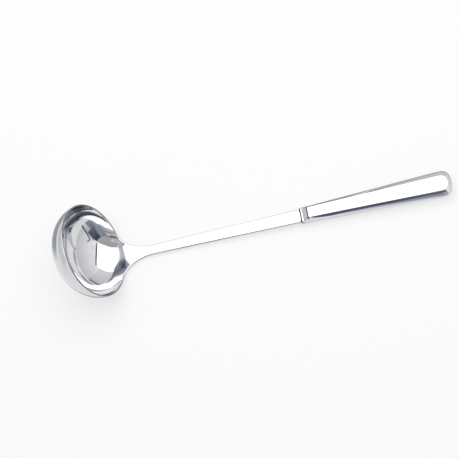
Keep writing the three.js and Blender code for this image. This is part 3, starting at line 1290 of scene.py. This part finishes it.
@dataclass(frozen=True, kw_only=True)
class StagePiece:
    """A cloth, wall or pole round the ladle, or a patch of painted shade on the floor, seen only in
    reflections.
    """

    name: str
    tone: Tone
    patch_tone: Tone
    patch_size: float
    centre: Point = (0.0, 0.0, 0.0)
    yaw: float = 0.0

    def build(self) -> bpy.types.Object:
        """Makes the piece, hidden from all but reflections.

        Returns:
            The new object.
        """
        skin = Skin()
        skin.quads(skin.add(self._points()))
        piece = skin.to_object(self.name, Matrix.Scale(MM, 4))
        piece.location = Vector(self.centre) * MM
        piece.rotation_euler.z = math.radians(self.yaw)
        piece.visible_camera = False
        piece.visible_diffuse = False
        piece.visible_shadow = False
        piece.data.materials.append(self._material())
        return piece

    def _points(self) -> Array:
        """Returns the piece's points in rows, in millimetres from its centre."""
        raise NotImplementedError

    def _colour(self, book: NodeBook, place: Wire) -> Wire:
        """Returns the piece's tone with soft patches."""
        return book.blend(book.noise(place, self.patch_size * MM, detail=3.0), self.tone, self.patch_tone)

    def _cover(self, book: NodeBook, place: Wire) -> Wire | float:
        """Returns 1 where the piece is solid and 0 where it has faded out."""
        return 1.0

    def _material(self) -> bpy.types.Material:
        """Makes the piece's material, which shows its tone as it is written.

        Returns:
            The node material.
        """
        book = NodeBook.for_material(self.name)
        place = book.place()
        clear = book.add("ShaderNodeBsdfTransparent", {}, {})
        glow = book.glow(self._colour(book, place))
        book.close(book.fade(self._cover(book, place), clear, glow))
        return book.owner


@dataclass(frozen=True, kw_only=True)
class Card(StagePiece):
    """A curved panel with soft edges, part of a sphere, whose tone changes from its foot to its top."""

    high_tone: Tone
    span: Span
    rise: Span
    distance: float
    patch_share: float = 0.5
    patch_range: Span = (0.42, 0.68)
    edge_fade: float = 5.0
    rows: int = 20
    columns: int = 60

    def _points(self) -> Array:
        """Lays out the panel.

        Returns:
            Rows of points from its foot to its top.
        """
        rise = np.radians(np.linspace(*self.rise, self.rows))[:, None]
        span = np.radians(np.linspace(*self.span, self.columns))[None, :]
        height = np.broadcast_to(np.sin(rise), (self.rows, self.columns))
        points = np.stack([np.cos(rise) * np.cos(span), np.cos(rise) * np.sin(span), height], axis=-1)
        return points * self.distance

    def _colour(self, book: NodeBook, place: Wire) -> Wire:
        """Works out the panel's tone.

        Args:
            book: The material's tree.
            place: The place on the panel.

        Returns:
            The tone, from foot to top, with soft patches.
        """
        heights = (self.distance * MM * math.sin(math.radians(angle)) for angle in self.rise)
        tone = book.blend(book.split(place)[2].step(*heights), self.tone, self.high_tone)
        patches = book.noise(place, self.patch_size * MM, detail=3.0).step(*self.patch_range)
        return book.blend(patches * self.patch_share, tone, self.patch_tone)

    def _cover(self, book: NodeBook, place: Wire) -> Wire:
        """Works out the panel's soft edges.

        Args:
            book: The material's tree.
            place: The place on the panel.

        Returns:
            1 over the panel and a soft step to 0 along its edges.
        """
        x, y, z = book.split(place)
        first, last = (math.radians(angle) for angle in self.span)
        low, high = (math.radians(angle) for angle in self.rise)
        fade = math.radians(self.edge_fade)
        middle = (first + last) / 2
        ahead = x * math.cos(middle) + y * math.sin(middle)
        aside = y * math.cos(middle) - x * math.sin(middle)
        across = ((last - first) / 2 - abs(aside.swing(ahead))).step(0.0, fade)
        climb = (z / (self.distance * MM)).climb()
        return across * ((climb - low).step(0.0, fade) * (high - climb).step(0.0, fade))


@dataclass(frozen=True, kw_only=True)
class FloorShade(StagePiece):
    """A soft oval of painted shade on the floor, seen only in reflections, solid in its middle."""

    reach: Span
    solid: float
    patch_size: float = 60.0

    def _points(self) -> Array:
        """Returns the corners of the painted shade's box."""
        x, y = self.reach
        return np.array([[(-x, -y, 0.0), (x, -y, 0.0)], [(-x, y, 0.0), (x, y, 0.0)]])

    def _cover(self, book: NodeBook, place: Wire) -> Wire:
        """Works out the painted shade's soft edge.

        Args:
            book: The material's tree.
            place: The place on the painted shade.

        Returns:
            1 in the middle of the oval and a soft step to 0 at its edge.
        """
        x, y, _ = book.split(place)
        radius = ((x / (self.reach[0] * MM)) ** 2.0 + (y / (self.reach[1] * MM)) ** 2.0) ** 0.5
        return 1.0 - radius.step(self.solid, 1.0)


@dataclass(frozen=True, kw_only=True)
class Strip(StagePiece):
    """A flat strip along a line that bends once."""

    foot: Point
    bend: Point
    tip: Point
    width: float
    facing: Point = (0.0, 1.0, 0.0)
    patch_size: float = 500.0 / 3.0
    steps: int = 24

    def _points(self) -> Array:
        """Lays out the strip.

        Returns:
            Pairs of points on its two sides, from its foot to its tip.
        """
        share = np.linspace(0.0, 1.0, self.steps)[:, None]
        foot, bend, tip = (np.array(place) for place in (self.foot, self.bend, self.tip))
        line = (1.0 - share) ** 2 * foot + 2.0 * share * (1.0 - share) * bend + share**2 * tip
        aside = unit(np.cross(np.gradient(line, axis=0), self.facing)) * self.width / 2
        return np.stack([line - aside, line + aside], axis=1)


@dataclass(frozen=True)
class Softbox:
    """The soft light overhead, facing down, with a dark rim along one side."""

    size: Span = (1330.0, 1270.0)
    place: Point = (41.0, 334.0, 1000.0)
    yaw: float = -20.0
    watts: float = 9.0
    rim_width: float = 120.0
    rim_tone: Tone = (0.05, 0.05, 0.065)
    rim_patch_tone: Tone = (0.1, 0.1, 0.12)

    def hang(self) -> None:
        """Hangs the light, which the camera doesn't see."""
        lamp = bpy.data.lights.new("softbox", "AREA")
        lamp.shape = "RECTANGLE"
        lamp.size, lamp.size_y = scaled(self.size, MM)
        lamp.energy = self.watts
        holder = bpy.data.objects.new("softbox", lamp)
        holder.location = Vector(self.place) * MM
        holder.rotation_euler.z = math.radians(self.yaw)
        holder.visible_camera = False
        bpy.context.scene.collection.objects.link(holder)

    def rim(self) -> Strip:
        """Lays out the dark rim beside the light.

        Returns:
            The rim, not yet built.
        """
        x = (self.size[0] + self.rim_width) / 2
        y = self.size[1] / 2
        return Strip(
            name="softbox_rim", tone=self.rim_tone, patch_tone=self.rim_patch_tone, width=self.rim_width,
            foot=(x, -y, 0.0), bend=(x, 0.0, 0.0), tip=(x, y, 0.0), facing=(0.0, 0.0, 1.0),
            centre=self.place, yaw=self.yaw,
        )


@dataclass(frozen=True)
class Floor:
    """A white floor that keeps the ladle's shadow and brightens with the distance."""

    size: float = 8000.0
    tone: Tone = (0.94, 0.93, 0.91)
    lift: float = 0.6
    lift_reach: Span = (350.0, 1500.0)
    seen_by: tuple[str, ...] = ("Is Camera Ray", "Is Glossy Ray", "Is Transmission Ray")

    def build(self) -> bpy.types.Object:
        """Makes the floor.

        Returns:
            The new object.
        """
        half = self.size / 2
        corners = [(-half, -half, 0.0), (half, -half, 0.0), (half, half, 0.0), (-half, half, 0.0)]
        mesh = bpy.data.meshes.new("floor")
        mesh.from_pydata([Vector(corner) * MM for corner in corners], [], [(0, 1, 2, 3)])
        mesh.materials.append(self._material())
        floor = bpy.data.objects.new("floor", mesh)
        bpy.context.scene.collection.objects.link(floor)
        return floor

    def _material(self) -> bpy.types.Material:
        """Makes the matt white material, lifted where the camera or the steel sees it.

        Returns:
            The node material.
        """
        book = NodeBook.for_material("white_floor")
        matt = book.add("ShaderNodeBsdfDiffuse", {}, {"Color": opaque(self.tone)})
        camera, mirror, glass = (book.add("ShaderNodeLightPath", {}, {}, ray) for ray in self.seen_by)
        x, y, _ = book.split(book.place())
        away = ((x**2.0 + y**2.0) ** 0.5).step(*scaled(self.lift_reach, MM))
        lift = camera.most(mirror).most(glass) * (self.lift + away * (1.0 - self.lift))
        book.close(book.fade(lift, matt, book.glow(opaque(WHITE))))
        return book.owner


@dataclass(frozen=True)
class PhotoCamera:
    """The camera, at the photograph's viewing angle."""

    lens: float = 138.28
    distance: float = 1287.53
    azimuth: float = -67.809
    elevation: float = 72.087
    roll: float = -33.655
    aim: Point = (-20.436, 1.977, 6.0)

    def set_up(self) -> None:
        """Makes the camera and hands the scene to it."""
        data = bpy.data.cameras.new("camera")
        data.lens = self.lens
        camera = bpy.data.objects.new("camera", data)
        azimuth, rise = math.radians(self.azimuth), math.radians(self.elevation)
        level = math.cos(rise)
        towards = Vector((level * math.cos(azimuth), level * math.sin(azimuth), math.sin(rise)))
        turn = towards.to_track_quat("Z", "Y").to_matrix().to_4x4()
        roll = Matrix.Rotation(math.radians(self.roll), 4, "Z")
        place = Matrix.Translation((Vector(self.aim) + towards * self.distance) * MM)
        camera.matrix_world = place @ turn @ roll
        bpy.context.scene.collection.objects.link(camera)
        bpy.context.scene.camera = camera


@dataclass(frozen=True)
class Studio:
    """A pale room with a white floor, a soft light overhead, cloths round the ladle and painted shade on the
    floor round it.
    """

    room_tone: Tone = (0.47, 0.48, 0.5)
    floor: Floor = Floor()
    softbox: Softbox = Softbox()
    camera: PhotoCamera = PhotoCamera()
    cloths_and_shades: tuple[StagePiece, ...] = (
        Card(
            name="slate_cloth", span=(-127.0, -64.0), rise=(-3.0, 54.0), distance=340.0, patch_size=75.0,
            tone=(0.43, 0.47, 0.55), high_tone=(0.27, 0.31, 0.39), patch_tone=(0.31, 0.35, 0.43),
            centre=(-118.0, 0.0, 0.0),
        ),
        Card(
            name="handle_cloth", span=(-109.0, -68.0), rise=(-3.0, 57.0), distance=350.0, patch_size=75.0,
            tone=(0.8, 0.81, 0.9), high_tone=(0.22, 0.24, 0.32), patch_tone=(0.48, 0.5, 0.58),
            centre=(80.0, 0.0, 0.0), patch_share=0.3,
        ),
        Card(
            name="left_wall", span=(-206.0, -124.0), rise=(-3.0, 60.0), distance=2000.0, patch_size=420.0,
            tone=(0.92, 0.94, 0.98), high_tone=(1.05, 1.06, 1.08), patch_tone=(0.86, 0.88, 0.93),
        ),
        Card(
            name="dark_stand", span=(-73.0, -46.0), rise=(19.0, 47.0), distance=150.0, patch_size=18.0,
            tone=(0.13, 0.14, 0.17), high_tone=(0.05, 0.055, 0.07), patch_tone=(0.2, 0.21, 0.24),
            centre=(-118.0, 22.0, 10.0), edge_fade=2.0,
        ),
        Card(
            name="stand_leg", span=(-77.0, -60.0), rise=(-3.0, 23.0), distance=152.0, patch_size=18.0,
            tone=(0.32, 0.34, 0.4), high_tone=(0.2, 0.215, 0.26), patch_tone=(0.27, 0.29, 0.34),
            centre=(-118.0, 22.0, 10.0), edge_fade=2.0,
        ),
        Strip(
            name="leaning_pole", tone=(0.07, 0.08, 0.125), patch_tone=(0.13, 0.14, 0.19), width=22.0,
            foot=(25.0, -155.0, 0.0), bend=(62.0, -155.0, 98.0), tip=(112.0, -155.0, 178.0),
        ),
        Strip(
            name="pole_arm", tone=(0.07, 0.08, 0.125), patch_tone=(0.13, 0.14, 0.19), width=20.0,
            foot=(104.0, -155.0, 165.0), bend=(122.0, -155.0, 198.0), tip=(235.0, -155.0, 202.0),
        ),
        Card(
            name="back_cloth", span=(140.0, 198.0), rise=(-3.0, 46.0), distance=1950.0, patch_size=420.0,
            tone=(0.74, 0.75, 0.78), high_tone=(0.84, 0.85, 0.88), patch_tone=(0.66, 0.67, 0.71),
        ),
        Card(
            name="grey_wall", span=(102.0, 146.0), rise=(-3.0, 46.0), distance=1900.0, patch_size=420.0,
            tone=(0.5, 0.51, 0.55), high_tone=(0.6, 0.61, 0.65), patch_tone=(0.46, 0.47, 0.51),
        ),
        Card(
            name="bright_wall", span=(-54.0, 52.0), rise=(-3.0, 64.0), distance=2000.0, patch_size=420.0,
            tone=(0.7, 0.7, 0.72), high_tone=(1.12, 1.11, 1.12), patch_tone=(0.84, 0.82, 0.85),
        ),
        Card(
            name="lilac_wall", span=(46.0, 108.0), rise=(-3.0, 60.0), distance=2050.0, patch_size=420.0,
            tone=(0.66, 0.65, 0.7), high_tone=(0.9, 0.89, 0.94), patch_tone=(0.74, 0.73, 0.79),
        ),
        Card(
            name="edge_flag", span=(55.0, 120.0), rise=(-1.0, 7.0), distance=700.0, patch_size=160.0,
            tone=(0.22, 0.22, 0.26), high_tone=(0.34, 0.34, 0.39), patch_tone=(0.28, 0.28, 0.32),
            edge_fade=1.0,
        ),
        # Painted shade: dark ovals on the floor, seen only in the steel's reflections, standing in for the
        # shade on the floor round the ladle.
        FloorShade(
            name="bowl_shade", tone=(0.22, 0.235, 0.275), patch_tone=(0.32, 0.335, 0.375),
            centre=(-123.0, 3.0, 0.2), reach=(45.0, 55.0), solid=0.6,
        ),
        FloorShade(
            name="back_shade", tone=(0.34, 0.37, 0.43), patch_tone=(0.45, 0.48, 0.54),
            centre=(-220.0, 92.0, 0.3), reach=(185.0, 96.0), solid=0.55,
        ),
        FloorShade(
            name="side_shade", tone=(0.08, 0.085, 0.11), patch_tone=(0.16, 0.17, 0.2),
            centre=(-46.0, 74.0, 0.4), reach=(46.0, 36.0), solid=0.5,
        ),
        FloorShade(
            name="handle_shade", tone=(0.4, 0.4, 0.45), patch_tone=(0.5, 0.5, 0.55),
            centre=(85.0, 37.0, 0.4), reach=(130.0, 37.0), solid=0.7,
        ),
        FloorShade(
            name="end_shade", tone=(0.2, 0.2, 0.24), patch_tone=(0.3, 0.3, 0.34),
            centre=(170.0, 34.0, 0.5), reach=(34.0, 36.0), solid=0.6,
        ),
    )

    def build(self) -> None:
        """Makes the room, the floor, the light, the cloths, the painted floor shades and the camera."""
        bpy.context.scene.view_settings.view_transform = "Standard"
        self._room()
        self.softbox.hang()
        cloths_and_shades = [cloth.build() for cloth in (*self.cloths_and_shades, self.softbox.rim())]
        self.floor.build()
        self.camera.set_up()
        LOG.info("set up the studio with %d cloths", len(cloths_and_shades))

    def _room(self) -> None:
        """Gives the world the even tone of a pale room, with a white backdrop for the camera."""
        world = bpy.data.worlds.new("pale_room")
        bpy.context.scene.world = world
        book = NodeBook(world)
        room, white = (
            book.add("ShaderNodeBackground", {}, {"Color": opaque(tone), "Strength": 1.0})
            for tone in (self.room_tone, WHITE)
        )
        seen = book.add("ShaderNodeLightPath", {}, {}, "Is Camera Ray")
        book.close(book.fade(seen, room, white), "ShaderNodeOutputWorld")


@dataclass
class SauceLadle:
    """The whole ladle: its pieces in the order that they are made."""

    sizes: LadleSizes = LadleSizes()
    bowl_finish: PolishedSteel = PolishedSteel(
        "bowl_polish", (0.7, 0.705, 0.718), (0.66, 0.662, 0.673), Grain.ROUND_THE_BOWL
    )
    handle_finish: PolishedSteel = PolishedSteel(
        "handle_polish", (0.71, 0.715, 0.728), (0.67, 0.672, 0.683), Grain.ALONG_THE_HANDLE
    )

    def build(self) -> None:
        """Builds every piece, sets it on the ladle's body and reports it."""
        placement = self.sizes.placement()
        plan = HandlePlan(self.sizes)
        self._seat(BowlAndStem(self.sizes, self.bowl_finish).build(placement), "bowl_and_stem", "bowl_polish")
        for side in Side:
            shell = HandleShell(plan, side, self.handle_finish).build(placement)
            self._seat(shell, f"handle_{side.name.lower()}_shell", "handle_polish")
        self._seat(SeamWeld(plan, GroundWeld()).build(placement), "seam_weld", "weld_bead")
        braze = TangBraze(BrazeFiller()).dress()
        LOG.info("dressed %s", braze.name)

    @staticmethod
    def _seat(piece: bpy.types.Object, node: str, slot: str) -> None:
        """Sets a piece on the ladle's body in place of its solid.

        Args:
            piece: The new piece.
            node: The solid that it stands for.
            slot: The record's material slot named for the piece; not used.
        """
        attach(piece, BODY)
        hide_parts(node)
        LOG.info("built %s with %d faces", piece.name, len(piece.data.polygons))


def main() -> None:
    """Builds the ladle and the studio round it."""
    logging.basicConfig(level=logging.INFO)
    SauceLadle().build()
    Studio().build()
    bpy.context.view_layer.update()


if __name__ == "__main__":
    main()
